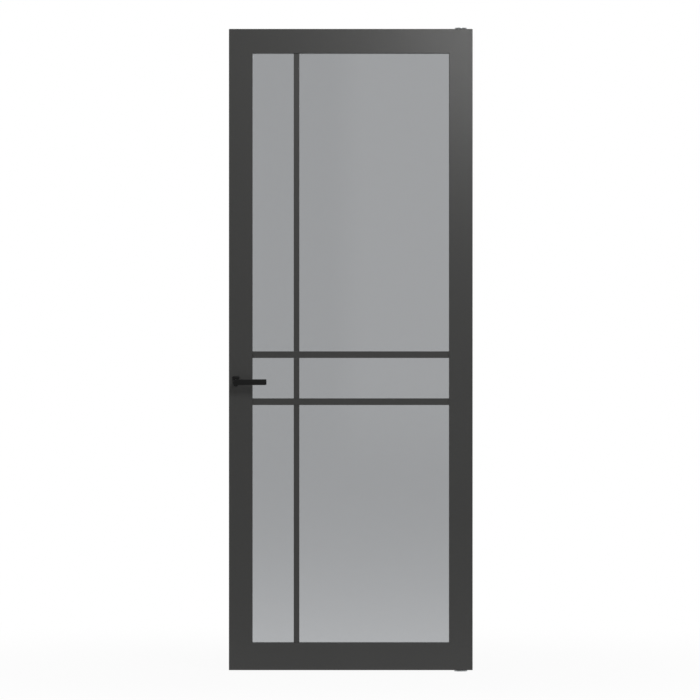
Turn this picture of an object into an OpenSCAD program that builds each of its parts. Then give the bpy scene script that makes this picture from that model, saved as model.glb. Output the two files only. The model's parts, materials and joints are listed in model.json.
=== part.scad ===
// Interior glass door leaf in the slim steel style: a painted stile and rail frame around one smoked pane,
// with glazing bars bonded to both faces of the glass, a magnetic latch lock, two levers and two pivots.
// Millimetres. Origin at the middle of the leaf's bottom edge. X runs to the pivot side, -Y faces the
// viewer, +Y is the side to which the lock edge swings when the door opens, and Z is up.

/* [Leaf] */
// Width of the leaf
leaf_w = 880; // [730:1:1030]
// Height of the leaf
leaf_h = 2315; // [1981:1:2600]
// Thickness of the leaf
leaf_t = 40; // [38:0.5:54]
// Width of each stile beside the glass
stile_w = 85; // [75:0.5:120]
// Height of the top rail above the glass
top_rail_h = 88; // [75:0.5:150]
// Height of the bottom rail below the glass
bottom_rail_h = 99; // [80:0.5:250]
// Chamfer along the outer edges and round the opening
arris = 1.2; // [0.5:0.1:3]
// Diameter of the dowels in the frame's corners
dowel_d = 12; // [8:0.5:16]
// Length of the dowels
dowel_l = 120; // [80:1:140]

/* [Glazing] */
// Thickness of the glass
glass_t = 6; // [4:0.5:10]
// Depth of the rebate that the glass and its beads sit in
rebate_d = 12; // [10:0.5:18]
// Space round the edge of the glass in its rebate
glass_gap = 2.5; // [2:0.1:5]
// Thickness of the glazing tape on each face of the glass
tape_t = 1; // [0.5:0.1:2]
// Length of the setting blocks under the glass
block_l = 80; // [50:1:120]
// Diameter of the pins that hold the beads
bead_pin_d = 1.6; // [1.2:0.1:2]
// Length of the bead pins
bead_pin_l = 28; // [22:0.5:35]

/* [Glazing bars] */
// Width of the upright bar
upright_w = 20; // [15:0.5:40]
// Width of the two cross bars
cross_w = 24; // [15:0.5:40]
// Thickness of the bars on each face of the glass
bar_t = 12; // [6:0.5:14]
// Thickness of the bonding tape under the bars
bond_t = 0.6; // [0.4:0.1:1.2]
// Clear width of the narrow lights beside the lock stile
side_light_w = 149; // [100:1:300]
// Clear height of the lower lights
lower_light_h = 858; // [600:1:1100]
// Clear height of the middle lights, between the cross bars
middle_light_h = 146; // [80:1:300]

/* [Pivots] */
// Gap under the leaf, which the floor plate and its bearing fill
floor_gap = 5; // [4.5:0.1:10]
// Gap between the leaf's top and the head plate
head_gap = 2; // [1.5:0.1:5]
// Diameter of the pivot pins
pivot_d = 12; // [10:0.5:14]
// How far the pins run into the leaf
pivot_in = 26; // [20:0.5:30]
// Diameter of the round plate on the floor
floor_plate_d = 48; // [47:0.5:60]
// Diameter of the round plate at the head
head_plate_d = 44; // [43:0.5:56]
// Thickness of the round plates
pivot_plate_t = 3; // [2.5:0.1:4]
// Width of the shoes let into the leaf's ends
shoe_w = 26; // [25:0.5:30]
// Length of the shoes
shoe_l = 74; // [70:0.5:75]
// Thickness of the shoes
shoe_t = 4; // [3:0.1:5]
// Diameter of the screw holes in plates and shoes
screw_hole_d = 4.6; // [3.5:0.1:5]
// Length of the screws in the shoes
shoe_screw_l = 32; // [25:1:36]

/* [Lock] */
// Height of the handle's spindle
handle_z = 1042.5; // [900:0.5:1150]
// Edge of the leaf to the spindle
backset = 25; // [22:0.5:40]
// How far the strike's magnet draws the latch out of the faceplate
latch_throw = 11; // [9:0.5:12]
// Height of the latch
latch_h = 22; // [18:0.5:28]
// Turn of the levers that pushes the latch back in, in degrees
lever_turn = 35; // [30:1:45]
// Thickness of the lock case
case_t = 15; // [14:0.5:18]
// Sheet thickness of the lock case
case_wall = 1.5; // [1:0.1:2]
// Width of the faceplate
faceplate_w = 20; // [18:0.5:24]
// Height of the faceplate
faceplate_h = 170; // [150:1:235]
// Thickness of the faceplate
faceplate_t = 3; // [2:0.1:4]
// Side of the square spindle
spindle_s = 8; // [7:0.5:9]

/* [Handle] */
// Length of the levers
lever_l = 119; // [90:1:150]
// Height of the lever bar
lever_h = 20; // [16:0.5:26]
// Thickness of the lever bar
lever_t = 8; // [6:0.5:12]
// Leaf's face to the outer face of the lever bar
lever_reach = 50; // [45:0.5:65]
// Rounding of the lever bar's edges
lever_round = 1.2; // [0.5:0.1:2]
// How far the bar's middle lies below the spindle
bar_drop = 3; // [0:0.1:4]
// Diameter of the lever's neck
neck_d = 14; // [14:0.1:15]
// Width of the roses
rose_w = 26; // [25:0.5:34]
// Height of the roses
rose_h = 37; // [36:0.5:60]
// Radius of the roses' upper corners
rose_corner = 4; // [2:0.1:6]
// Radius of the roses' round foot
rose_foot = 9; // [8.8:0.1:12]
// Thickness of the roses
rose_t = 7; // [6:0.1:10]
// Wall of the rose covers
rose_wall = 1.2; // [0.8:0.1:1.5]

/* [Hidden] */
// Clearances that the fits share
running_gap = 0.05;       // pin in its socket, trunnion in the case, neck in its bush
slide_gap = 0.3;          // parts that pass each other
glue_gap = 0.1;           // dowels and screws in their holes
fit_gap = 0.25;           // ends of bars, plates and shoes in their recesses
cut = 1;                  // how far a cutting shape runs past a face
$fn = 64;

// The opening in the frame
opening_w = leaf_w - 2 * stile_w;
opening_h = leaf_h - top_rail_h - bottom_rail_h;
opening_mid = bottom_rail_h + opening_h / 2;
glass_back = glass_t / 2;
lip_back = glass_back + tape_t;              // lip and beads begin here, each side of the middle
bead_t = leaf_t / 2 - lip_back;
glass_cover = rebate_d - glass_gap;          // how far the glass runs under the lip
tape_inset = 1;                              // the tape stays back from the edge of the lip
block_x = opening_w / 4;

// Dowels, a pair at each corner, in the part of the rail between the pivot's socket and the rebate
dowel_share = [0.55, 0.85];
dowel_r = dowel_d / 2;
top_dowels = [for (s = dowel_share) leaf_h - (top_rail_h - rebate_d) * s];
bottom_dowels = [for (s = dowel_share) (bottom_rail_h - rebate_d) * s];

// Bead pins, evenly spaced along each bead
bead_pin_pitch = 260;                        // about how far apart they are
bead_pin_y = lip_back + bead_t / 2;

// Glazing bars
bar_arris = 1;
bar_base = glass_back + bond_t;              // inner face of a bar, from the middle of the leaf
bond_inset = 2;                              // the bonding tape stays back from the bar's edges
lower_cross_z = bottom_rail_h + lower_light_h + cross_w / 2;
upper_cross_z = lower_cross_z + cross_w + middle_light_h;
upright_x = -opening_w / 2 + side_light_w + upright_w / 2;
upright_runs = [                             // the upright's three lengths, from and to
    [bottom_rail_h, lower_cross_z - cross_w / 2],
    [lower_cross_z + cross_w / 2, upper_cross_z - cross_w / 2],
    [upper_cross_z + cross_w / 2, leaf_h - top_rail_h]];

// Pivots, on the middle line of the stile
pivot_x = (leaf_w - stile_w) / 2;
pivot_r = pivot_d / 2;
pivot_bore = pivot_r + running_gap;
floor_pcd = 34;                              // circles of the screws in the round plates
head_pcd = 30;
plate_edge = 0.8;                            // chamfer round a plate's rim and a pin's end
bearing_r = 10;
bearing_gap = 0.2;                           // between the bearing and the shoe above it
bearing_h = floor_gap - pivot_plate_t - bearing_gap;
cup_r = pivot_r + 5;
cup_h = pivot_in + 5;
pin_room = 1;                                // left free at the end of a pin's bore
shoe_screw_x = shoe_l / 2 - shoe_w / 2 + 2;  // screws from the pivot's axis
screw_head_d = screw_hole_d + 3.6;
screw_d = screw_hole_d - 0.6;
recess_share = 0.55;                         // cross in a screw's head, as a share of the head
recess_w = 0.9;
recess_h = 1.2;

// Lock, from the leaf's lock edge inwards and from the spindle up
edge_x = -leaf_w / 2;
arm_tip_r = 3;
arm_w = 3.6;                                     // the arms are narrower than their round tips
arm_r = latch_throw / 2 / sin(lever_turn / 2);   // so that the arm's swing is as long as the latch's throw
return_arm_r = 14;                               // the arm that the return spring pushes
hub_r = 8.5;
trunnion_r = 7.2;
stop_t = 2;                                      // post that stops the return arm
case_front = faceplate_t;
case_rear = backset + 18;                    // leaves room behind the spindle for the latch's leg
case_in = case_t / 2 - case_wall;            // half the clear width inside the case
latch_z = arm_r + arm_tip_r + 2 * slide_gap + latch_h / 2;   // the latch passes above the arm
case_top = latch_z + latch_h / 2 + 10;       // leaves room for the rivets above the latch
case_bottom = -(return_arm_r + 20);          // and below the return spring
case_mid = (case_top + case_bottom) / 2;
latch_t = 2 * (case_in - slide_gap);
follower_t = latch_t;
latch_rear = latch_throw + 14;               // drawn out, the latch keeps 14 in the case
latch_edge = 0.8;                            // chamfer round the latch's face
leg_t = 3;
leg_u = backset + latch_throw / 2 + arm_tip_r + slide_gap;   // where the arm's swing ends
leg_low = arm_r * cos(lever_turn / 2) - arm_tip_r;
rivet_r = 2;
rivet_in = 6;                                // rivets from the case's outer edges
mortise_gap = 0.5;
faceplate_screw_z = faceplate_h / 2 - 11;
faceplate_screw_d = 3.6;
faceplate_head_d = 6.8;
faceplate_screw_l = 22;

// Springs and magnet
spring_wire_r = 0.45;
latch_spring_r = 3.4;
latch_spring_turns = 11;
latch_spring_bore = latch_spring_r + spring_wire_r + slide_gap;
latch_spring_seat = latch_throw + 5;         // bottom of the spring's bore in the latch
magnet_r = 4;
magnet_l = 6;
return_spring_r = 3;
return_spring_turns = 7;
return_arm_lean = return_arm_r * sin(lever_turn / 2);
return_arm_drop = return_arm_r * cos(lever_turn / 2);

// Handle
face_y = leaf_t / 2;                         // leaf's face, from its middle
bush_wall = 1;
bush_r = neck_d / 2 + running_gap + bush_wall;
rose_base_t = rose_t - rose_wall - slide_gap;
rose_corner_at = [rose_w / 2 - rose_corner, rose_h / 2 - rose_corner];   // centres of its corner and foot
rose_foot_at = [0, rose_foot - rose_h / 2];
rose_fall = rose_corner_at - rose_foot_at;
rose_lean = atan2(rose_fall[1], rose_fall[0]) - acos((rose_foot - rose_corner) / norm(rose_fall));
rose_screw_z = rose_h / 2 - 6.5;
rose_screw_d = 3;
rose_head_d = 5.6;
rose_head_h = (rose_head_d - rose_screw_d) / 2;
rose_screw_l = rose_base_t + face_y - case_t / 2 - mortise_gap - 2;   // stops short of the mortise
handle_hole_d = spindle_s * sqrt(2) + 4;    // the spindle's corners turn clear of the timber
spindle_hole = spindle_s + 2 * glue_gap;     // square hole in the follower and the levers
socket_l = 26;                               // depth of the spindle's socket, from the leaf's face
grub_d = 4;
grub_z = 18;                                 // grub screw from the leaf's face
grub_l = neck_d / 2 - spindle_s / 2 - 1;     // ends 1 inside the neck
grub_key = 2;                                // hexagon key across its flats, and how deep it goes
grub_key_h = grub_l / 2;
lever_corner = 2;                            // corner radius at the lever's free end

// Colours as the finished door shows them
paint = "#434343";
black = "#1e1f20";
smoke = [0.30, 0.31, 0.32, 0.55];
timber = "#c9a878";
zinc = "#b5b8ba";
spring_steel = "#8d9194";
rubber = "#161616";
nylon = "#e8e6df";

// Points of an arc about a centre
function arc(centre, r, from, to, steps = 6) =
    [for (i = [0:steps]) let (a = from + (to - from) * i / steps) centre + r * [cos(a), sin(a)]];

// Upright outline with half-round ends
function stadium(w, h) = concat(
    arc([0, (h - w) / 2], w / 2, 0, 180, 24),
    arc([0, (w - h) / 2], w / 2, 180, 360, 24));

// Profiles laid out in YZ and run along X, or laid out in XZ and run along Y, both about the middle
module along_x(l) rotate([90, 0, 90]) linear_extrude(l, center = true) children();
module along_y(l) rotate([90, 0, 0]) linear_extrude(l, center = true) children();

// A box by its lowest and highest corners
module block(low, high) translate(low) cube(high - low);

// Places
module at_lock() translate([edge_x, 0, handle_z]) children();
module at_spindle() translate([edge_x + backset, 0, handle_z]) children();
// The pivot's axis at the leaf's ends, with Z pointing out of the leaf
module at_top_end() translate([pivot_x, 0, leaf_h]) children();
module at_bottom_end() translate([pivot_x, 0, 0]) mirror([0, 0, 1]) children();
module on_back() mirror([0, 1, 0]) children();

// The leaf as one block with its outer edges chamfered, which each frame member is taken from
module leaf_blank() {
    c = 2 * arris;
    translate([0, 0, leaf_h / 2]) hull() {
        cube([leaf_w, leaf_t - c, leaf_h - c], center = true);
        cube([leaf_w - c, leaf_t, leaf_h - c], center = true);
        cube([leaf_w - c, leaf_t - c, leaf_h], center = true);
    }
}

// What is routed out for the glass: the opening, the rebate behind the lip and the chamfer in front
module opening_cut() {
    translate([0, 0, opening_mid]) {
        cube([opening_w, leaf_t + 2 * cut, opening_h], center = true);
        translate([0, (face_y + cut - lip_back) / 2, 0]) cube(
            [opening_w + 2 * rebate_d, face_y + cut + lip_back, opening_h + 2 * rebate_d], center = true);
        hull() {
            translate([0, arris - face_y, 0]) cube([opening_w, 0.01, opening_h], center = true);
            translate([0, -face_y - 0.01, 0])
                cube([opening_w + 2 * arris, 0.01, opening_h + 2 * arris], center = true);
        }
    }
}

// Bores for the corner dowels, which lie along X across the joints between stile and rail
module dowel_holes() dowels(dowel_r + glue_gap, dowel_l + 2 * cut);

module dowels(r, l) {
    for (side = [-1, 1], z = concat(bottom_dowels, top_dowels))
        translate([side * opening_w / 2, 0, z]) rotate([0, 90, 0]) cylinder(r = r, h = l, center = true);
}

// One frame member, as the part of the leaf between two corners
module frame_member(low, high) {
    difference() {
        intersection() {
            leaf_blank();
            block(low, high);
        }
        opening_cut();
        dowel_holes();
        bead_pin_set(bead_pin_d / 2 + running_gap);
    }
}

module lock_stile() color(paint) difference() {
    frame_member([-leaf_w / 2, -face_y, 0], [-opening_w / 2, face_y, leaf_h]);
    at_lock() {
        mortise();
        faceplate_hole_set(faceplate_screw_d / 2 + glue_gap, faceplate_t + faceplate_screw_l + cut);
    }
    at_spindle() {
        rotate([90, 0, 0]) cylinder(d = handle_hole_d, h = leaf_t + 2 * cut, center = true);
        for (side = [-1, 1]) rose_screw_axes(side) translate([0, 0, -rose_screw_l])
            cylinder(r = rose_screw_d / 2 + glue_gap, h = rose_screw_l + cut);
    }
}

module pivot_stile() color(paint) difference() {
    frame_member([opening_w / 2, -face_y, 0], [leaf_w / 2, face_y, leaf_h]);
    at_top_end() shoe_pocket();
    at_bottom_end() shoe_pocket();
}

module top_rail() color(paint)
    frame_member([-opening_w / 2, -face_y, leaf_h - top_rail_h], [opening_w / 2, face_y, leaf_h]);

module bottom_rail() color(paint)
    frame_member([-opening_w / 2, -face_y, 0], [opening_w / 2, face_y, bottom_rail_h]);

module corner_dowels() color(timber) dowels(dowel_r, dowel_l);

// Glass, and what it is bedded in
module glass_pane() color(smoke) translate([0, 0, opening_mid])
    cube([opening_w + 2 * glass_cover, glass_t, opening_h + 2 * glass_cover], center = true);

module setting_blocks() color(rubber) for (x = [-block_x, block_x])
    translate([x, 0, bottom_rail_h - rebate_d + glass_gap / 2])
        cube([block_l, glass_t, glass_gap], center = true);

// Four strips of tape on one face of the glass, under the lip or the beads
module glazing_tape() {
    w = glass_cover - tape_inset;
    run_w = opening_w + 2 * tape_inset;
    run_h = opening_h + 2 * tape_inset;
    translate([0, -glass_back - tape_t / 2, opening_mid]) for (side = [-1, 1]) {
        translate([side * (run_w + w) / 2, 0, 0]) cube([w, tape_t, run_h + 2 * w], center = true);
        translate([0, 0, side * (run_h + w) / 2]) cube([run_w - 2 * fit_gap, tape_t, w], center = true);
    }
}

module front_glazing_tape() color(rubber) glazing_tape();
module back_glazing_tape() color(rubber) on_back() glazing_tape();

// A glazing bead in the rebate behind the glass, mitred at both ends. The run is the opening's length along
// the bead, and the bead lies along the bottom of an opening with its middle at the origin.
module bead(run, across) difference() {
    translate([0, lip_back + bead_t / 2, -across / 2]) along_y(bead_t)
        polygon([[-run / 2, 0], [run / 2, 0],
            [run / 2 + rebate_d, -rebate_d], [-run / 2 - rebate_d, -rebate_d]]);
    translate([0, face_y, -across / 2]) rotate([45, 0, 0])
        cube([run + 2 * rebate_d, arris * sqrt(2), arris * sqrt(2)], center = true);
}

module left_bead() color(paint) bead_body() rotate([0, 90, 0]) bead(opening_h, opening_w);
module right_bead() color(paint) bead_body() rotate([0, -90, 0]) bead(opening_h, opening_w);
module top_bead() color(paint) bead_body() rotate([0, 180, 0]) bead(opening_w, opening_h);
module bottom_bead() color(paint) bead_body() bead(opening_w, opening_h);

module bead_body() difference() {
    translate([0, 0, opening_mid]) children();
    bead_pin_set(bead_pin_d / 2 + running_gap);
}

// Pins through the beads into the frame, square to the edge that each bead lies on
module bead_pin_set(r) translate([0, bead_pin_y, opening_mid]) for (turn = [0, 90, 180, 270]) {
    along = turn % 180 == 0 ? opening_w : opening_h;
    across = turn % 180 == 0 ? opening_h : opening_w;
    count = round(along / bead_pin_pitch);
    rotate([0, turn, 0]) for (i = [0:count - 1])
        translate([along * ((i + 0.5) / count - 0.5), 0, -across / 2 - bead_pin_l])
            cylinder(r = r, h = bead_pin_l);
}

module bead_pins() color(zinc) bead_pin_set(bead_pin_d / 2);

// Section of a glazing bar, with its outer edges chamfered: across the bar, then out from the glass
function bar_section(w) = [
    [-w / 2, 0], [w / 2, 0], [w / 2, bar_arris - bar_t], [w / 2 - bar_arris, -bar_t],
    [bar_arris - w / 2, -bar_t], [-w / 2, bar_arris - bar_t]];

module cross_bar(z) color(paint) translate([0, -bar_base, z])
    along_x(opening_w - 2 * fit_gap) polygon([for (p = bar_section(cross_w)) [p[1], p[0]]]);

module upright_bar(run) color(paint) translate([upright_x, -bar_base, run[0] + fit_gap])
    linear_extrude(run[1] - run[0] - 2 * fit_gap) polygon(bar_section(upright_w));

module upper_bar() cross_bar(upper_cross_z);
module lower_bar() cross_bar(lower_cross_z);
module upright_bottom() upright_bar(upright_runs[0]);
module upright_middle() upright_bar(upright_runs[1]);
module upright_top() upright_bar(upright_runs[2]);

// Strips of bonding tape between the bars and the glass
module bond_tape() color(rubber) translate([0, -glass_back - bond_t / 2, 0]) {
    for (z = [lower_cross_z, upper_cross_z]) translate([0, 0, z])
        cube([opening_w - 2 * bond_inset, bond_t, cross_w - 2 * bond_inset], center = true);
    for (run = upright_runs) translate([upright_x, 0, (run[0] + run[1]) / 2])
        cube([upright_w - 2 * bond_inset, bond_t, run[1] - run[0] - 2 * bond_inset], center = true);
}

// Countersunk hole through a plate whose outer face is at the origin, running down Z
module screw_cut(t) {
    head_h = (screw_head_d - screw_hole_d) / 2;
    translate([0, 0, -t - cut]) cylinder(d = screw_hole_d, h = t + 2 * cut);
    translate([0, 0, -head_h]) cylinder(d1 = screw_hole_d, d2 = screw_head_d, h = head_h);
}

// Wood screw with a cross in its countersunk head, flush at the origin and running down Z to a point
module wood_screw(d, head_d, l) {
    head_h = (head_d - d) / 2;
    point_h = d;
    difference() {
        rotate_extrude() polygon([[0, 0], [head_d / 2, 0], [d / 2, -head_h], [d / 2, point_h - l], [0, -l]]);
        for (turn = [0, 90]) rotate(turn)
            cube([head_d * recess_share, recess_w, 2 * recess_h], center = true);
    }
}

// Round plate for the floor or the head: fixed face at the origin, three screws, the first at an angle
module pivot_plate(d, pcd, lead) {
    r = d / 2;
    difference() {
        rotate_extrude() polygon([[0, 0], [r, 0], [r, pivot_plate_t - plate_edge],
            [r - plate_edge, pivot_plate_t], [0, pivot_plate_t]]);
        for (i = [0:2]) rotate(lead + 120 * i) translate([pcd / 2, 0, pivot_plate_t])
            screw_cut(pivot_plate_t);
    }
}

// Pivot pin from the origin up, with its end chamfered
module pivot_pin(l) rotate_extrude()
    polygon([[0, 0], [pivot_r, 0], [pivot_r, l - plate_edge], [pivot_r - plate_edge, l], [0, l]]);

// Floor plate with its pin, which the leaf stands and turns on
module floor_pivot() color(zinc) translate([pivot_x, 0, -floor_gap]) {
    pivot_plate(floor_plate_d, floor_pcd, 90);
    pivot_pin(floor_gap + pivot_in);
}

module pivot_bearing() color(spring_steel) translate([pivot_x, 0, pivot_plate_t - floor_gap]) difference() {
    cylinder(r = bearing_r, h = bearing_h);
    translate([0, 0, -cut]) cylinder(r = pivot_bore, h = bearing_h + 2 * cut);
}

// Head plate, with the hole that the top pin turns in
module head_plate() color(zinc) translate([0, 0, head_gap + pivot_plate_t]) at_top_end() difference() {
    mirror([0, 0, 1]) pivot_plate(head_plate_d, head_pcd, 30);
    cylinder(r = pivot_bore, h = 4 * pivot_plate_t, center = true);
}

module top_pin() color(zinc) translate([0, 0, -pivot_in]) at_top_end()
    pivot_pin(pivot_in + head_gap + pivot_plate_t);

// Shoe in the end of the stile: a flange with two screws and a socket for the pin, grown by a clearance
module shoe_body(grow) {
    translate([0, 0, -shoe_t]) linear_extrude(shoe_t)
        rotate(90) polygon(stadium(shoe_w + 2 * grow, shoe_l + 2 * grow));
    translate([0, 0, -cup_h - grow]) cylinder(r = cup_r + grow, h = cup_h + grow - shoe_t / 2);
}

module shoe_screw_axes() for (side = [-1, 1]) translate([side * shoe_screw_x, 0, 0]) children();

module shoe() color(zinc) difference() {
    shoe_body(0);
    translate([0, 0, -pivot_in - pin_room]) cylinder(r = pivot_bore, h = pivot_in + pin_room + cut);
    shoe_screw_axes() screw_cut(shoe_t);
}

module shoe_pocket() {
    shoe_body(fit_gap);
    shoe_screw_axes() translate([0, 0, -shoe_screw_l])
        cylinder(r = screw_d / 2 + glue_gap, h = shoe_screw_l);
}

module shoe_screw_pair() shoe_screw_axes()
    wood_screw(screw_d, screw_head_d - 2 * glue_gap, shoe_screw_l - cut);

module shoe_screws() color(zinc) {
    at_top_end() shoe_screw_pair();
    at_bottom_end() shoe_screw_pair();
}

// Lock: pocket in the stile for the faceplate and the case
module mortise() {
    translate([faceplate_t / 2 - cut / 2, 0, case_mid]) along_x(faceplate_t + cut)
        polygon(stadium(faceplate_w + 2 * fit_gap, faceplate_h + 2 * fit_gap));
    block([0, -case_t / 2 - mortise_gap, case_bottom - mortise_gap],
        [case_rear + mortise_gap, case_t / 2 + mortise_gap, case_top + mortise_gap]);
}

// Opening for the latch, through the faceplate and the front of the case
module latch_window(from, to) block([from, -latch_t / 2 - slide_gap, latch_z - latch_h / 2 - slide_gap],
    [to, latch_t / 2 + slide_gap, latch_z + latch_h / 2 + slide_gap]);

// Rivets that close the case, at its corners clear of the moving parts
module rivet_places()
    for (u = [case_front + rivet_in, case_rear - rivet_in])
        for (z = [case_bottom + rivet_in, case_top - rivet_in])
            translate([u, 0, z]) rotate([90, 0, 0]) children();

// Case as a tray with its floor towards the viewer, and a post that stops the return arm at rest
module lock_case() color(zinc) at_lock() {
    difference() {
        block([case_front, -case_t / 2, case_bottom], [case_rear, case_in, case_top]);
        block([case_front + case_wall, -case_in, case_bottom + case_wall],
            [case_rear - case_wall, case_in + cut, case_top - case_wall]);
        latch_window(case_front - cut, case_front + case_wall + cut);
        translate([backset, 0, 0]) rotate([90, 0, 0]) cylinder(r = trunnion_r + running_gap, h = case_t);
        rivet_places() cylinder(r = rivet_r + running_gap, h = case_t);
    }
    stop_u = backset + return_arm_lean + arm_tip_r + slide_gap;
    block([stop_u, -case_in - case_wall / 2, -return_arm_drop - arm_tip_r],
        [stop_u + stop_t, case_in, arm_tip_r - return_arm_drop]);
}

module lock_cover() color(zinc) at_lock() difference() {
    block([case_front, case_in, case_bottom], [case_rear, case_t / 2, case_top]);
    translate([backset, 0, 0]) rotate([-90, 0, 0]) cylinder(r = trunnion_r + running_gap, h = case_t);
    rivet_places() cylinder(r = rivet_r + running_gap, h = 2 * case_t, center = true);
}

module case_rivets() color(zinc) at_lock() rivet_places() cylinder(r = rivet_r, h = case_t, center = true);

// Screw axes in the faceplate: Z points out of the leaf's edge, from the faceplate's face
module faceplate_screw_axes() for (side = [-1, 1])
    translate([0, 0, case_mid + side * faceplate_screw_z]) rotate([0, -90, 0]) children();

module faceplate_hole_set(r, l) faceplate_screw_axes() translate([0, 0, -l]) cylinder(r = r, h = l + cut);

module faceplate() color(black) at_lock() difference() {
    translate([faceplate_t / 2, 0, case_mid]) along_x(faceplate_t)
        polygon(stadium(faceplate_w, faceplate_h));
    latch_window(-cut, faceplate_t + cut);
    faceplate_hole_set(faceplate_screw_d / 2 + glue_gap, faceplate_t + cut);
    head_h = (faceplate_head_d - faceplate_screw_d) / 2;
    faceplate_screw_axes() translate([0, 0, -head_h])
        cylinder(d1 = faceplate_screw_d, d2 = faceplate_head_d, h = head_h);
}

module faceplate_screws() color(black) at_lock() faceplate_screw_axes()
    wood_screw(faceplate_screw_d, faceplate_head_d - 2 * glue_gap, faceplate_screw_l);

// Latch: flush in the faceplate at rest, with a magnet in its face, bored behind for the spring that pulls
// it back, and with a leg that the follower's arm pushes in
module latch_bolt() color(zinc) at_lock() {
    low = latch_z - latch_h / 2;
    e = latch_edge;
    difference() {
        hull() {
            block([0, e - latch_t / 2, low + e], [latch_rear, latch_t / 2 - e, low + latch_h - e]);
            block([e, -latch_t / 2, low], [latch_rear, latch_t / 2, low + latch_h]);
        }
        translate([latch_spring_seat, 0, latch_z]) rotate([0, 90, 0])
            cylinder(r = latch_spring_bore, h = latch_rear);
        translate([-cut, 0, latch_z]) rotate([0, 90, 0])
            cylinder(r = magnet_r + running_gap, h = magnet_l + cut);
    }
    block([latch_rear - leg_t, -latch_t / 3, low], [leg_u + leg_t, latch_t / 3, low + leg_t]);
    block([leg_u, -latch_t / 3, leg_low], [leg_u + leg_t, latch_t / 3, low + leg_t]);
}

module latch_magnet() color(spring_steel) at_lock() translate([0, 0, latch_z]) rotate([0, 90, 0])
    cylinder(r = magnet_r, h = magnet_l);

// Coil spring along X between two places
module coil_spring(from, to, r, turns) {
    sides = 6;
    per_turn = 12;
    steps = turns * per_turn;
    run = to - from - 2 * spring_wire_r;
    points = [for (i = [0:steps], k = [0:sides - 1]) let (
        a = 360 * i / per_turn, b = 360 * k / sides, w = r + spring_wire_r * cos(b))
        [from + spring_wire_r + run * i / steps + spring_wire_r * sin(b), w * cos(a), w * sin(a)]];
    walls = [for (i = [0:steps - 1], k = [0:sides - 1]) let (n = (k + 1) % sides)
        [i * sides + k, (i + 1) * sides + k, (i + 1) * sides + n, i * sides + n]];
    ends = [[for (k = [0:sides - 1]) k], [for (k = [sides - 1:-1:0]) steps * sides + k]];
    polyhedron(points, concat(walls, ends));
}

module latch_spring() color(spring_steel) at_lock() translate([0, 0, latch_z])
    coil_spring(latch_spring_seat + fit_gap, case_rear - case_wall - fit_gap,
        latch_spring_r, latch_spring_turns);

// Follower: hub on two trunnions with a square hole, an arm for the latch and an arm for the return spring
module follower_arm(r, angle) rotate([0, angle, 0]) {
    along_y(follower_t) translate([-arm_w / 2, 0]) square([arm_w, r]);
    translate([0, 0, r]) rotate([90, 0, 0]) cylinder(r = arm_tip_r, h = follower_t, center = true);
}

module follower() color(zinc) at_spindle() difference() {
    union() {
        rotate([90, 0, 0]) cylinder(r = hub_r, h = follower_t, center = true);
        rotate([90, 0, 0]) cylinder(r = trunnion_r, h = case_t, center = true);
        follower_arm(arm_r, -lever_turn / 2);
        follower_arm(return_arm_r, 180 - lever_turn / 2);
    }
    cube([spindle_hole, 2 * case_t, spindle_hole], center = true);
}

module return_spring() color(spring_steel) at_lock() translate([0, 0, -return_arm_drop])
    coil_spring(case_front + case_wall + fit_gap, backset + return_arm_lean - arm_tip_r - fit_gap,
        return_spring_r, return_spring_turns);

module spindle() color(zinc) at_spindle()
    cube([spindle_s, leaf_t + 2 * (socket_l - cut), spindle_s], center = true);

// Outline of the lever bar in XZ, inset all round: round about the spindle, square at its free end
function lever_outline(inset) = let (r = lever_h / 2 - inset, end = lever_l - lever_h / 2 - inset,
    c = max(lever_corner - inset, 0.3)) concat(
    arc([0, 0], r, 90, 270, 16), arc([end - c, c - r], c, -90, 0, 4), arc([end - c, r - c], c, 0, 90, 4));

// Lever with its bar and neck, on the side towards the viewer
module lever() color(black) at_spindle() difference() {
    union() {
        translate([0, -face_y - lever_reach + lever_t / 2, -bar_drop]) hull() for (a = [0:22.5:90])
            along_y(lever_t - 2 * lever_round * (1 - cos(a)))
                polygon(lever_outline(lever_round * (1 - sin(a))));
        translate([0, -face_y - slide_gap, 0]) rotate([90, 0, 0])
            cylinder(d = neck_d, h = lever_reach - slide_gap - lever_t / 2);
    }
    translate([0, -face_y - socket_l / 2, 0]) cube([spindle_hole, socket_l, spindle_hole], center = true);
    grub_axis() translate([0, 0, spindle_s / 2]) cylinder(d = grub_d + 2 * glue_gap, h = neck_d);
}

// Grub screw's axis under the lever's neck, with Z pointing out of it
module grub_axis() translate([0, -face_y - grub_z, 0]) rotate([180, 0, 0]) children();

module grub_screws() color(zinc) at_spindle() for (side = [0, 1]) mirror([0, side, 0])
    grub_axis() translate([0, 0, spindle_s / 2]) difference() {
        cylinder(d = grub_d, h = grub_l);
        translate([0, 0, grub_l - grub_key_h]) cylinder(d = grub_key / cos(30), h = grub_key_h + cut, $fn = 6);
    }

// Rose outline in XZ, inset all round: two upper corners, and sides that draw in to a round foot
function rose_outline(inset) = let (at = rose_corner_at) concat(
    arc(at, rose_corner - inset, rose_lean, 90, 8),
    arc([-at[0], at[1]], rose_corner - inset, 90, 180 - rose_lean, 8),
    arc(rose_foot_at, rose_foot - inset, 180 - rose_lean, 360 + rose_lean, 24));

// Rose: a thin cover over a base that is screwed to the leaf and holds the lever's bush
module rose_slab(inset, t) translate([0, -face_y - t / 2, 0]) along_y(t) polygon(rose_outline(inset));

module rose() color(black) at_spindle() difference() {
    hull() {
        rose_slab(0, rose_t - rose_wall);
        rose_slab(rose_wall / 3, rose_t - rose_wall / 3);
        rose_slab(rose_wall, rose_t);
    }
    translate([0, cut, 0]) rose_slab(rose_wall, rose_t - rose_wall + cut);
    rotate([90, 0, 0]) cylinder(r = neck_d / 2 + slide_gap, h = 2 * (face_y + rose_t));
}

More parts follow.
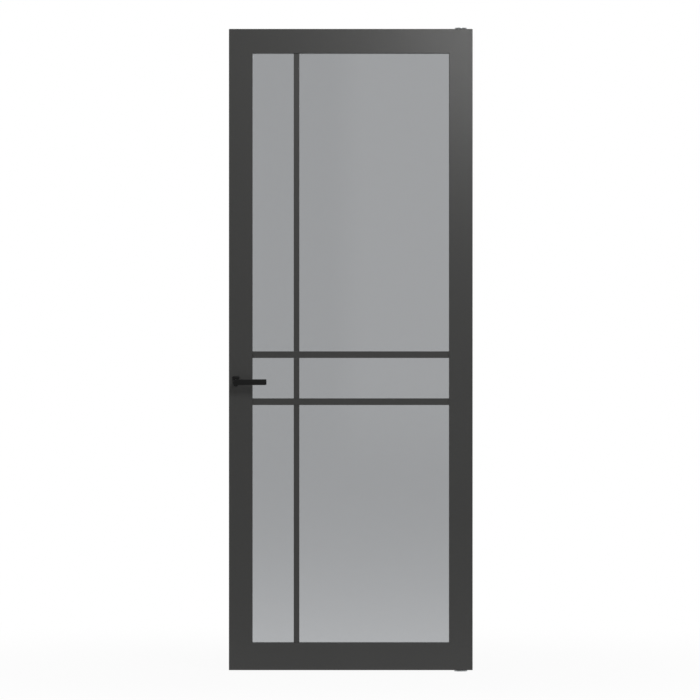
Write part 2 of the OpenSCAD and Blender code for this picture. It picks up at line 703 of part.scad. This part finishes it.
// Rose screws: Z points out of the leaf's face, from the screw's head
module rose_screw_axes(side) for (z = [-rose_screw_z, rose_screw_z])
    translate([0, side * (face_y + rose_base_t), z]) rotate([-side * 90, 0, 0]) children();

module rose_base() color(zinc) at_spindle() difference() {
    rose_slab(rose_wall + slide_gap, rose_base_t);
    rotate([90, 0, 0]) cylinder(r = bush_r + running_gap, h = 2 * (face_y + rose_t));
    rose_screw_axes(-1) {
        translate([0, 0, -rose_t]) cylinder(r = rose_screw_d / 2 + glue_gap, h = rose_t + cut);
        translate([0, 0, -rose_head_h]) cylinder(d1 = rose_screw_d, d2 = rose_head_d, h = rose_head_h);
    }
}

module rose_bushes() color(nylon) at_spindle() for (side = [0, 1]) mirror([0, side, 0])
    translate([0, -face_y, 0]) rotate([90, 0, 0]) difference() {
        cylinder(r = bush_r, h = rose_base_t);
        translate([0, 0, -cut]) cylinder(r = neck_d / 2 + running_gap, h = rose_base_t + 2 * cut);
    }

module rose_screws() color(zinc) at_spindle() for (side = [-1, 1]) rose_screw_axes(side)
    wood_screw(rose_screw_d, rose_head_d - 2 * glue_gap, rose_screw_l);

lock_stile();
pivot_stile();
top_rail();
bottom_rail();
corner_dowels();
glass_pane();
setting_blocks();
front_glazing_tape();
back_glazing_tape();
left_bead();
right_bead();
top_bead();
bottom_bead();
bead_pins();
upper_bar();  // front_upper_bar
lower_bar();  // front_lower_bar
upright_top();  // front_upright_top
upright_middle();  // front_upright_middle
upright_bottom();  // front_upright_bottom
on_back() upper_bar();  // back_upper_bar
on_back() lower_bar();  // back_lower_bar
on_back() upright_top();  // back_upright_top
on_back() upright_middle();  // back_upright_middle
on_back() upright_bottom();  // back_upright_bottom
bond_tape();  // front_bond_tape
on_back() bond_tape();  // back_bond_tape
lock_case();
lock_cover();
case_rivets();
faceplate();
faceplate_screws();
latch_bolt();
latch_magnet();
latch_spring();
follower();
return_spring();
spindle();
lever();  // front_lever
on_back() lever();  // back_lever
grub_screws();
rose();  // front_rose
on_back() rose();  // back_rose
rose_base();  // front_rose_base
on_back() rose_base();  // back_rose_base
rose_bushes();
rose_screws();
floor_pivot();
pivot_bearing();
at_bottom_end() shoe();  // bottom_shoe
at_top_end() shoe();  // top_shoe
top_pin();
head_plate();
shoe_screws();
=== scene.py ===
import json
import math

import bmesh
import bpy
from mathutils import Matrix, Vector


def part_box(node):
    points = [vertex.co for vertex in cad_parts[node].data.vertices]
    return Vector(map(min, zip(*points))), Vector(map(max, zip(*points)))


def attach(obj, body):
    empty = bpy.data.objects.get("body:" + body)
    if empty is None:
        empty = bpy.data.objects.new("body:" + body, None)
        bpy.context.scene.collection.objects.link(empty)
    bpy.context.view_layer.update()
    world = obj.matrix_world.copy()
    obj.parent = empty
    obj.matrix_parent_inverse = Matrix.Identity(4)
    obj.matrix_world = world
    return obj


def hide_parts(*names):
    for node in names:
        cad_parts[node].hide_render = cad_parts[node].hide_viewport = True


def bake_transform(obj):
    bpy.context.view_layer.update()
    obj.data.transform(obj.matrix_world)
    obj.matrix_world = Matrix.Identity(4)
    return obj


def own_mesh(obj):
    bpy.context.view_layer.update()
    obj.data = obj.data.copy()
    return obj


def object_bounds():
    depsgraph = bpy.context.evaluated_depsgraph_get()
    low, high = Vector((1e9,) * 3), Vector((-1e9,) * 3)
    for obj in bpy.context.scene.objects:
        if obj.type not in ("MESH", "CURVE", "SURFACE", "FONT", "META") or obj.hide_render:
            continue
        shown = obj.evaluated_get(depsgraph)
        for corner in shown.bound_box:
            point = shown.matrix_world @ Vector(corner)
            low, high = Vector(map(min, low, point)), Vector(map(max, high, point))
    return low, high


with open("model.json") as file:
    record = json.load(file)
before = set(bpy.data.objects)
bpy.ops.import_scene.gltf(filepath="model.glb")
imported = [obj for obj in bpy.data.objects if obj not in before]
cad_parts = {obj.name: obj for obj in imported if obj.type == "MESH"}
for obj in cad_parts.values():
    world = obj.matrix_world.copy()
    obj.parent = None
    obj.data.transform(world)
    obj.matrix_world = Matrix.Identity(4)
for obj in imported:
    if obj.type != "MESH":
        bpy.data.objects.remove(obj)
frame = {"nodes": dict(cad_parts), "record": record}
cadNodes = frame["nodes"]
cadLow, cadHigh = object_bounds()
print("frame:", len(cadNodes), "nodes")

perMetre = 1000          # the materials' patterns are sized in mm; their scale is how many fit in a metre


# colours are written as the eye reads them and turned to linear light once, here
def hexLinear(code):
    channels = [int(code[i:i + 2], 16) / 255 for i in (1, 3, 5)]
    return [c / 12.92 if c <= 0.04045 else ((c + 0.055) / 1.055) ** 2.4 for c in channels] + [1.0]


# an input takes a number, a colour or another node's output; the node's own output may go on into a socket
def addNode(tree, kind, inputs=None, into=None, **settings):
    made = tree.nodes.new(kind)
    for key, value in settings.items():
        setattr(made, key, value)
    for key, value in (inputs or {}).items():
        if isinstance(value, bpy.types.NodeSocket):
            tree.links.new(value, made.inputs[key])
        else:
            made.inputs[key].default_value = value
    if into is not None:
        tree.links.new(next(out for out in made.outputs if out.enabled), into)
    return made


def newMaterial(name):
    made = bpy.data.materials.new(name)
    made.use_nodes = True
    tree = made.node_tree
    place = addNode(tree, "ShaderNodeTexCoord").outputs["Object"]      # metres from the door's origin
    return made, tree, tree.nodes["Principled BSDF"].inputs, place


# two near shades that drift into each other, the way a coat or a rolled sheet does
def driftColour(tree, skin, place, shades, size):
    cloud = addNode(tree, "ShaderNodeTexNoise", {"Vector": place, "Scale": perMetre / size, "Detail": 3.0})
    addNode(tree, "ShaderNodeMix", data_type="RGBA", into=skin["Base Color"],
            inputs={"Factor": cloud.outputs["Fac"], "A": hexLinear(shades[0]), "B": hexLinear(shades[1])})


# satin lacquer, sprayed on timber: dark warm grey with a wide soft sheen and a faint orange peel
lacquerFacts = {"shades": ("#363635", "#393938"), "drift": 330, "peel": 2.4, "smooth": 0.3, "dull": 0.4,
                "bump": 0.4, "high": 0.0002}


def makeLacquer():
    f = lacquerFacts
    made, tree, skin, place = newMaterial("satinLacquer")
    driftColour(tree, skin, place, f["shades"], f["drift"])
    coat = addNode(tree, "ShaderNodeTexNoise", {"Vector": place, "Scale": perMetre / f["peel"]})
    peel = coat.outputs["Fac"]
    addNode(tree, "ShaderNodeMapRange", {"Value": peel, "To Min": f["smooth"], "To Max": f["dull"]},
            skin["Roughness"])
    addNode(tree, "ShaderNodeBump", {"Height": peel, "Strength": f["bump"], "Distance": f["high"]},
            skin["Normal"])
    return made


# smoked float glass: grey in the body with a clean mirror on its faces and a trace of roller wave
glassFacts = {"body": "#aeb0b2", "ior": 1.5, "wave": 400, "bump": 0.1, "high": 0.0004}


def makeGlass():
    f = glassFacts
    made, tree, skin, place = newMaterial("smokedFloatGlass")
    skin["Base Color"].default_value = hexLinear(f["body"])
    skin["Transmission Weight"].default_value = 1.0
    skin["Roughness"].default_value = 0.0
    skin["IOR"].default_value = f["ior"]
    roller = addNode(tree, "ShaderNodeTexNoise",
                     {"Vector": place, "Scale": perMetre / f["wave"], "Detail": 0.0})
    wave = roller.outputs["Fac"]
    addNode(tree, "ShaderNodeBump", {"Height": wave, "Strength": f["bump"], "Distance": f["high"]},
            skin["Normal"])
    return made


# black powder coat on cast zinc: near black with a fine dry grain
powderFacts = {"shades": ("#0c0c0c", "#0f0f0f"), "drift": 25, "grain": 0.45, "smooth": 0.36, "dull": 0.46,
               "specular": 0.25, "bump": 0.4, "high": 0.00008}


def makePowderCoat():
    f = powderFacts
    made, tree, skin, place = newMaterial("blackPowderCoat")
    driftColour(tree, skin, place, f["shades"], f["drift"])
    skin["Specular IOR Level"].default_value = f["specular"]
    grit = addNode(tree, "ShaderNodeTexNoise", {"Vector": place, "Scale": perMetre / f["grain"]})
    grain = grit.outputs["Fac"]
    addNode(tree, "ShaderNodeMapRange", {"Value": grain, "To Min": f["smooth"], "To Max": f["dull"]},
            skin["Roughness"])
    addNode(tree, "ShaderNodeBump", {"Height": grain, "Strength": f["bump"], "Distance": f["high"]},
            skin["Normal"])
    return made


# zinc plated sheet steel: pale cool metal with short marks from the rolls
zincFacts = {"shades": ("#b4b7b9", "#c0c3c4"), "drift": 17, "markWide": 1.1, "markLong": 17, "smooth": 0.25,
             "dull": 0.42, "bump": 0.1, "high": 0.00005}


def makeZinc():
    f = zincFacts
    made, tree, skin, place = newMaterial("zincPlatedSteel")
    driftColour(tree, skin, place, f["shades"], f["drift"])
    skin["Metallic"].default_value = 1.0
    scale = [perMetre / size for size in (f["markWide"], f["markWide"], f["markLong"])]
    rolled = addNode(tree, "ShaderNodeMapping", {"Vector": place, "Scale": scale}).outputs["Vector"]
    sheet = addNode(tree, "ShaderNodeTexNoise", {"Vector": rolled, "Scale": 1.0, "Detail": 3.0})
    marks = sheet.outputs["Fac"]
    addNode(tree, "ShaderNodeMapRange", {"Value": marks, "To Min": f["smooth"], "To Max": f["dull"]},
            skin["Roughness"])
    addNode(tree, "ShaderNodeBump", {"Height": marks, "Strength": f["bump"], "Distance": f["high"]},
            skin["Normal"])
    return made


# drawn spring wire: darker steel, bright along the wire, with small dull spots
wireFacts = {"shades": ("#7d8184", "#94989b"), "drift": 3.3, "spots": 0.8, "smooth": 0.22, "dull": 0.34}


def makeSpringSteel():
    f = wireFacts
    made, tree, skin, place = newMaterial("drawnSpringSteel")
    driftColour(tree, skin, place, f["shades"], f["drift"])
    skin["Metallic"].default_value = 1.0
    wire = addNode(tree, "ShaderNodeTexNoise", {"Vector": place, "Scale": perMetre / f["spots"]})
    spots = wire.outputs["Fac"]
    addNode(tree, "ShaderNodeMapRange", {"Value": spots, "To Min": f["smooth"], "To Max": f["dull"]},
            skin["Roughness"])
    return made


# foam glazing tape: black and matt, with open cells at its cut edge
tapeFacts = {"shades": ("#101010", "#151515"), "drift": 12, "cells": 0.4, "smooth": 0.75, "dull": 0.9,
             "bump": 0.3, "high": 0.0001}


def makeTape():
    f = tapeFacts
    made, tree, skin, place = newMaterial("blackFoamTape")
    driftColour(tree, skin, place, f["shades"], f["drift"])
    foam = addNode(tree, "ShaderNodeTexVoronoi", {"Vector": place, "Scale": perMetre / f["cells"]})
    cells = foam.outputs["Distance"]
    addNode(tree, "ShaderNodeMapRange", {"Value": cells, "To Min": f["smooth"], "To Max": f["dull"]},
            skin["Roughness"])
    addNode(tree, "ShaderNodeBump", {"Height": cells, "Strength": f["bump"], "Distance": f["high"]},
            skin["Normal"])
    return made


# beech dowels: pale wood with its grain along them
beechFacts = {"shades": ("#b98d5a", "#d3ad7c"), "fibreLong": 40, "fibreWide": 1.4, "smooth": 0.62,
              "dull": 0.76}


def makeBeech():
    f = beechFacts
    made, tree, skin, place = newMaterial("beechDowel")
    scale = [perMetre / size for size in (f["fibreLong"], f["fibreWide"], f["fibreWide"])]
    along = addNode(tree, "ShaderNodeMapping", {"Vector": place, "Scale": scale}).outputs["Vector"]
    fibre = addNode(tree, "ShaderNodeTexNoise", {"Vector": along, "Scale": 1.0, "Detail": 4.0}).outputs["Fac"]
    addNode(tree, "ShaderNodeMix", data_type="RGBA", into=skin["Base Color"],
            inputs={"Factor": fibre, "A": hexLinear(f["shades"][0]), "B": hexLinear(f["shades"][1])})
    addNode(tree, "ShaderNodeMapRange", {"Value": fibre, "To Min": f["smooth"], "To Max": f["dull"]},
            skin["Roughness"])
    return made


# moulded nylon: warm white and a little waxy, with a fine texture from the mould
nylonFacts = {"shades": ("#dfddd4", "#e8e6de"), "drift": 11, "texture": 0.6, "smooth": 0.4, "dull": 0.5}


def makeNylon():
    f = nylonFacts
    made, tree, skin, place = newMaterial("mouldedNylon")
    driftColour(tree, skin, place, f["shades"], f["drift"])
    mould = addNode(tree, "ShaderNodeTexNoise", {"Vector": place, "Scale": perMetre / f["texture"]})
    texture = mould.outputs["Fac"]
    addNode(tree, "ShaderNodeMapRange", {"Value": texture, "To Min": f["smooth"], "To Max": f["dull"]},
            skin["Roughness"])
    return made


finishes = {
    "frame_paint": makeLacquer(),
    "smoked_glass": makeGlass(),
    "black_metal": makePowderCoat(),
    "zinc_steel": makeZinc(),
    "spring_steel": makeSpringSteel(),
    "tape": makeTape(),
    "dowel_wood": makeBeech(),
    "nylon": makeNylon(),
}
for row in frame["record"]["subparts"]:
    mesh = cadNodes[row["node"]].data
    mesh.materials.clear()
    mesh.materials.append(finishes[row["material_slot"]])
print("materials:", len(finishes))

rimSegments = 6          # faces across a rounded rim
sharpFrom = math.radians(32)
sameHeight = 1e-6


def meshObject(name, bm):
    bmesh.ops.recalc_face_normals(bm, faces=bm.faces)
    for face in bm.faces:
        face.smooth = True
    mesh = bpy.data.meshes.new(name)
    bm.to_mesh(mesh)
    bm.free()
    made = bpy.data.objects.new(name, mesh)
    bpy.context.collection.objects.link(made)
    return made


# points spun into arcs with straight sides between them, filled in the door's plane and pushed to a plate
def plateFrom(arcs, near, far, rimRound=0.0, rimsAt=()):
    bm = bmesh.new()
    ends = []
    for (x, z), radius, start, stop, steps in arcs:
        begin, sweep = math.radians(start), math.radians(stop - start)
        first = bm.verts.new((x + radius * math.cos(begin), near, z + radius * math.sin(begin)))
        spun = bmesh.ops.spin(bm, geom=[first], cent=(x, near, z), axis=(0, -1, 0), angle=sweep, steps=steps)
        ends.append((first, spun["geom_last"][0]))
    for before, after in zip(ends[-1:] + ends, ends):
        bm.edges.new((before[1], after[0]))
    filled = bmesh.ops.edgeloop_fill(bm, edges=bm.edges)["faces"]
    pushed = bmesh.ops.extrude_face_region(bm, geom=filled)["geom"]
    moved = [part for part in pushed if isinstance(part, bmesh.types.BMVert)]
    bmesh.ops.translate(bm, verts=moved, vec=(0, far - near, 0))
    rims = [e for e in bm.edges if any(all(abs(v.co.y - y) < sameHeight for v in e.verts) for y in rimsAt)]
    bmesh.ops.bevel(bm, geom=rims, offset=rimRound, affect="EDGES", segments=rimSegments, profile=0.5,
                    material=-1)
    return bm


def rodFrom(radius, start, stop, sides):
    start, stop = Vector(start), Vector(stop)
    turn = (stop - start).to_track_quat("Z", "Y").to_matrix().to_4x4()
    bm = bmesh.new()
    bmesh.ops.create_cone(bm, cap_ends=True, segments=sides, radius1=radius, radius2=radius,
                          depth=(stop - start).length, matrix=Matrix.Translation((start + stop) / 2) @ turn)
    return bm


# joins and cuts are made once, so one closed skin is left
def carve(name, base, steps):
    made = meshObject(name, base)
    tools = []
    for kind, shape in steps:
        tools.append(meshObject(name + "Tool", shape))
        work = made.modifiers.new(kind, "BOOLEAN")
        work.operation, work.object, work.solver = kind, tools[-1], "EXACT"
    shaped = bpy.data.meshes.new_from_object(made.evaluated_get(bpy.context.evaluated_depsgraph_get()))
    made.modifiers.clear()
    made.data = shaped
    for tool in tools:
        bpy.data.objects.remove(tool)
    return made


def standFor(piece, node, slotName):
    piece.data.set_sharp_from_angle(angle=sharpFrom)
    piece.data.materials.clear()
    piece.data.materials.append(finishes[slotName])
    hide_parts(node)
    return piece


# the handle's pieces are set out from the spindle, the grub screws and the leaf's face
spindleLow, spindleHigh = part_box("spindle")
spindleAt = (spindleLow + spindleHigh) / 2
grubLow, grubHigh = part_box("grub_screws")
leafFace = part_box("lock_stile")[1].y
spare = 0.001            # cuts run this far past what they cut, and the levers' sockets past the spindle

# lever: flat bar with rounded edges on a round neck, with the spindle's socket and the grub screw's hole
leverFacts = {"thick": 0.008, "round": 0.0012, "corner": 0.002, "neckR": 0.007, "play": 0.0001,
              "endSteps": 40, "cornerSteps": 6, "neckSides": 64, "drillSides": 32}


def makeLever(name, node, side):
    f = leverFacts
    low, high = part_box(node)
    x, z, corner, half = spindleAt.x, spindleAt.z, f["corner"], spindleAt.x - low.x
    root, outer = (high.y, low.y) if side < 0 else (low.y, high.y)
    inner = outer - side * f["thick"]
    bar = plateFrom([((x, low.z + half), half, 90, 270, f["endSteps"]),
                     ((high.x - corner, low.z + corner), corner, -90, 0, f["cornerSteps"]),
                     ((high.x - corner, low.z + 2 * half - corner), corner, 0, 90, f["cornerSteps"])],
                    inner, outer, f["round"], (inner, outer))
    neck = rodFrom(f["neckR"], (x, root, z), (x, (inner + outer) / 2, z), f["neckSides"])
    wide = spindleHigh.x - spindleLow.x + 2 * f["play"]
    begin, end = side * (leafFace - spare), side * (spindleHigh.y + spare)
    socket = bmesh.new()
    bmesh.ops.create_cube(socket, size=1.0, matrix=Matrix.Translation((x, (begin + end) / 2, z))
                          @ Matrix.Diagonal((wide, abs(end - begin), wide, 1)))
    grubR = (grubHigh.x - grubLow.x) / 2
    grubY = side * (grubHigh.y - grubR)
    drillFrom, drillTo = (x, grubY, spindleLow.z), (x, grubY, z - f["neckR"] - spare)
    drill = rodFrom(grubR + f["play"], drillFrom, drillTo, f["drillSides"])
    lever = carve(name, bar, [("UNION", neck), ("DIFFERENCE", socket), ("DIFFERENCE", drill)])
    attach(standFor(lever, node, "black_metal"), "handle")


makeLever("frontLever", "front_lever", -1)
makeLever("backLever", "back_lever", 1)

# rose: thin hollow cap with a rounded rim, two upper corners, a narrower round foot and the neck's hole
roseFacts = {"corner": 0.004, "foot": 0.009, "round": 0.0012, "wall": 0.0012, "neckGap": 0.0003,
             "cornerSteps": 16, "footSteps": 48, "holeSides": 64}


def roseArcs(low, high, inset):
    f = roseFacts
    corner, foot = f["corner"], f["foot"]
    across, top, bottom = (high.x - low.x) / 2 - corner, high.z - corner, low.z + foot
    fall = top - bottom
    lean = math.degrees(math.atan2(fall, across) - math.acos((foot - corner) / math.hypot(across, fall)))
    return [((spindleAt.x + across, top), corner - inset, lean, 90, f["cornerSteps"]),
            ((spindleAt.x - across, top), corner - inset, 90, 180 - lean, f["cornerSteps"]),
            ((spindleAt.x, bottom), foot - inset, 180 - lean, 360 + lean, f["footSteps"])]


def makeRose(name, node, side):
    f = roseFacts
    low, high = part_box(node)
    back, front = (high.y, low.y) if side < 0 else (low.y, high.y)
    cap = plateFrom(roseArcs(low, high, 0), back, front, f["round"], (front,))
    hollow = plateFrom(roseArcs(low, high, f["wall"]), back - side * spare, front - side * f["wall"])
    begin, end = (spindleAt.x, back, spindleAt.z), (spindleAt.x, front + side * spare, spindleAt.z)
    hole = rodFrom(leverFacts["neckR"] + f["neckGap"], begin, end, f["holeSides"])
    rose = carve(name, cap, [("DIFFERENCE", hollow), ("DIFFERENCE", hole)])
    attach(standFor(rose, node, "black_metal"), "leaf")


makeRose("frontRose", "front_rose", -1)
makeRose("backRose", "back_rose", 1)
print("handles: levers and roses")

# springs in the lock: round wire where the solids have flat sides, coiled along the same boxes
springFacts = {"wireR": 0.00045, "sides": 12, "perTurn": 36, "latchTurns": 11, "returnTurns": 7,
               "returnKeep": 0.6}


def makeSpring(name, node, turns):
    f = springFacts
    low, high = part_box(node)
    middle, wireR, steps = (low + high) / 2, f["wireR"], turns * f["perTurn"]
    start = Matrix.Translation((low.x + wireR, middle.y, high.z - wireR))
    bm = bmesh.new()
    bmesh.ops.create_circle(bm, segments=f["sides"], radius=wireR,
                            matrix=start @ Matrix.Rotation(math.pi / 2, 4, "X"))
    ends = list(bm.edges)
    spun = bmesh.ops.spin(bm, geom=bm.verts[:] + ends, cent=middle, axis=(1, 0, 0), angle=2 * math.pi * turns,
                          steps=steps, dvec=((high.x - low.x - 2 * wireR) / steps, 0, 0))
    ends += [part for part in spun["geom_last"] if isinstance(part, bmesh.types.BMEdge)]
    bmesh.ops.edgeloop_fill(bm, edges=ends)
    return standFor(meshObject(name, bm), node, "spring_steel"), low, high


# one end of the real latch spring stays in the case and the other goes with the latch; here the spring is
# only fixed in place, on no body
latchSpring, low, high = makeSpring("latchSpring", "latch_spring", springFacts["latchTurns"])
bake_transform(latchSpring)
# the lever's turn presses the real return spring together; here the spring goes with the leaf, on a mesh of
# its own
returnSpring, low, high = makeSpring("returnSpring", "return_spring", springFacts["returnTurns"])
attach(returnSpring, "leaf")
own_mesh(returnSpring)
print("springs: latch and return")


# rays that reach the eye straight, by a mirror and through the glass; a ray through glass counts as gloss too
def rayKinds(tree):
    rays = addNode(tree, "ShaderNodeLightPath").outputs
    gloss, through = rays["Is Glossy Ray"], rays["Is Transmission Ray"]
    mirror = addNode(tree, "ShaderNodeMath", {0: gloss, 1: through}, operation="SUBTRACT", use_clamp=True)
    return rays["Is Camera Ray"], mirror.outputs[0], through


def stageCard(name, half, place, material):
    bm = bmesh.new()
    bmesh.ops.create_grid(bm, x_segments=1, y_segments=1, size=half, matrix=place)
    made = meshObject(name, bm)
    made.data.materials.append(material)
    return made


# floor: white to the eye with a faint shadow at the door; in the glass it dims away from the door, in a
# mirror only towards the flag, so the white behind the door meets it with no line
floorFacts = {"half": 24.0, "shade": "#cccccc", "dull": 0.9, "shadow": 0.06, "shadowFrom": 0.4,
              "shadowTo": 3.0, "dimPerMetre": 0.84, "mirrorDim": 0.9, "mirrorFrom": -1.0, "throughDim": 0.217}


def makeFloor():
    f = floorFacts
    made, tree, skin, place = newMaterial("studioFloor")
    skin["Base Color"].default_value = hexLinear(f["shade"])
    skin["Roughness"].default_value = f["dull"]
    straight, mirror, through = rayKinds(tree)
    away = addNode(tree, "ShaderNodeVectorMath", {0: place}, operation="LENGTH").outputs["Value"]
    near = addNode(tree, "ShaderNodeMath", {0: f["dimPerMetre"], 1: away}, operation="POWER").outputs[0]
    far = addNode(tree, "ShaderNodeMath", {0: 1.0, 1: near}, operation="SUBTRACT").outputs[0]
    spot = addNode(tree, "ShaderNodeSeparateXYZ", {0: place}).outputs
    front = {"Value": spot["Y"], "From Min": 0.0, "From Max": f["mirrorFrom"], "To Max": -f["mirrorDim"]}
    ahead = addNode(tree, "ShaderNodeMapRange", front, interpolation_type="SMOOTHSTEP").outputs["Result"]
    dim = addNode(tree, "ShaderNodeMath", {0: mirror, 1: ahead}, operation="MULTIPLY").outputs[0]
    dim = addNode(tree, "ShaderNodeMath", {0: through, 1: -f["throughDim"], 2: dim},
                  operation="MULTIPLY_ADD").outputs[0]
    level = addNode(tree, "ShaderNodeMath", {0: far, 1: dim, 2: 1.0}, operation="MULTIPLY_ADD").outputs[0]
    glow = addNode(tree, "ShaderNodeEmission", {"Strength": level}).outputs[0]
    reach = {"Value": away, "From Min": f["shadowFrom"], "From Max": f["shadowTo"],
             "To Min": 1.0 - f["shadow"]}
    plain = addNode(tree, "ShaderNodeMapRange", reach, interpolation_type="SMOOTHSTEP").outputs["Result"]
    share = addNode(tree, "ShaderNodeMath", {0: straight, 1: plain, 2: through},
                    operation="MULTIPLY_ADD").outputs[0]
    share = addNode(tree, "ShaderNodeMath", {0: share, 1: mirror}, operation="ADD").outputs[0]
    addNode(tree, "ShaderNodeMixShader", {0: share, 1: tree.nodes["Principled BSDF"].outputs[0], 2: glow},
            tree.nodes["Material Output"].inputs["Surface"])
    stageCard("floor", f["half"], Matrix.Translation((0, 0, cadLow[2])), made)


# white background, also in gloss, a little dimmer through the glass; plain even light otherwise
worldFacts = {"shade": "#ffffff", "plain": 0.41, "seen": 1.0, "through": 0.783}


def makeWorld():
    f = worldFacts
    made = bpy.data.worlds.new("studio")
    made.use_nodes = True
    tree = made.node_tree
    background = tree.nodes["Background"].inputs
    background["Color"].default_value = hexLinear(f["shade"])
    straight, mirror, through = rayKinds(tree)
    seen = addNode(tree, "ShaderNodeMath", {0: straight, 1: mirror}, operation="ADD").outputs[0]
    level = addNode(tree, "ShaderNodeMath", {0: seen, 1: f["seen"] - f["plain"], 2: f["plain"]},
                    operation="MULTIPLY_ADD").outputs[0]
    addNode(tree, "ShaderNodeMath", {0: through, 1: f["through"] - f["plain"], 2: level},
            background["Strength"], operation="MULTIPLY_ADD")
    bpy.context.scene.world = made


# dark end of the studio behind the camera, painted as a glowing card seen only in gloss: a painted
# reflection, lighter to the right and above the floor
flagFacts = {"y": -19.0, "half": 18.0, "dark": 0.1, "light": 0.6, "fromX": -0.2, "toX": 0.15, "fullZ": 1.0}


def makeFlag():
    f = flagFacts
    # a glowing card, not a cloth: its emission is a painted reflection of the studio's shade and light
    made, tree, _, place = newMaterial("paintedReflectionCard")
    spot = addNode(tree, "ShaderNodeSeparateXYZ", {0: place}).outputs
    reach = {"Value": spot["X"], "From Min": f["fromX"], "From Max": f["toX"]}
    across = addNode(tree, "ShaderNodeMapRange", reach, interpolation_type="SMOOTHSTEP").outputs["Result"]
    climb = {"Value": spot["Z"], "From Max": f["fullZ"]}
    rise = addNode(tree, "ShaderNodeMapRange", climb, interpolation_type="SMOOTHSTEP").outputs["Result"]
    pale = addNode(tree, "ShaderNodeMath", {0: across, 1: rise}, operation="MULTIPLY").outputs[0]
    level = addNode(tree, "ShaderNodeMapRange", {"Value": pale, "To Min": f["dark"], "To Max": f["light"]})
    addNode(tree, "ShaderNodeEmission", {"Strength": level.outputs["Result"]},
            tree.nodes["Material Output"].inputs["Surface"])
    middle = Matrix.Translation((0, f["y"], cadLow[2] + f["half"]))
    card = stageCard("studioFlag", f["half"], middle @ Matrix.Rotation(math.pi / 2, 4, "X"), made)
    card.visible_camera = card.visible_transmission = card.visible_diffuse = card.visible_shadow = False


makeFloor()
makeWorld()
makeFlag()
print("studio: floor, background and flag")

# key from the upper right, fill from the left, and a strip that is mirrored just past the top right corner
lampFacts = {
    "keyLight": {"place": (1.6, -4.2, 4.2), "aim": (0.3, 0, 1.9), "size": (1.6, 1.6),
                 "watts": 90, "inGloss": True},
    "fillLight": {"place": (-3.2, -4.5, 2.2), "aim": (0, 0, 1.1), "size": (2.5, 3.0),
                  "watts": 36, "inGloss": False},        # no hard edge of it in the glass
    "cornerLight": {"place": (0.57, -2.3, 2.5), "aim": (0.49, 0, 2.34), "size": (0.15, 0.74),
                    "watts": 7, "inGloss": True},
}
for name, f in lampFacts.items():
    lamp = bpy.data.lights.new(name, "AREA")
    lamp.shape, lamp.energy = "RECTANGLE", f["watts"]
    lamp.size, lamp.size_y = f["size"]
    lampObject = bpy.data.objects.new(name, lamp)
    bpy.context.collection.objects.link(lampObject)
    lampObject.location = f["place"]
    lampObject.rotation_euler = (Vector(f["aim"]) - Vector(f["place"])).to_track_quat("-Z", "Y").to_euler()
    lampObject.visible_camera = lampObject.visible_transmission = False      # not seen through the glass
    lampObject.visible_glossy = f["inGloss"]

# square on, from far back, with the leaf where the photograph has it; field is how much of its plane is seen
cameraFacts = {"back": 16.0, "x": -0.0028, "z": 1.1558, "field": 2.527, "sensor": 36.0}
camera = bpy.data.cameras.new("camera")
camera.sensor_width = cameraFacts["sensor"]
camera.lens = cameraFacts["sensor"] * (cameraFacts["back"] - leafFace) / cameraFacts["field"]
cameraObject = bpy.data.objects.new("camera", camera)
bpy.context.collection.objects.link(cameraObject)
cameraObject.location = (cameraFacts["x"], -cameraFacts["back"], cameraFacts["z"])
cameraObject.rotation_euler = (math.pi / 2, 0, 0)
bpy.context.scene.camera = cameraObject
bpy.context.scene.view_settings.view_transform = "Standard"
print("lamps and camera set")
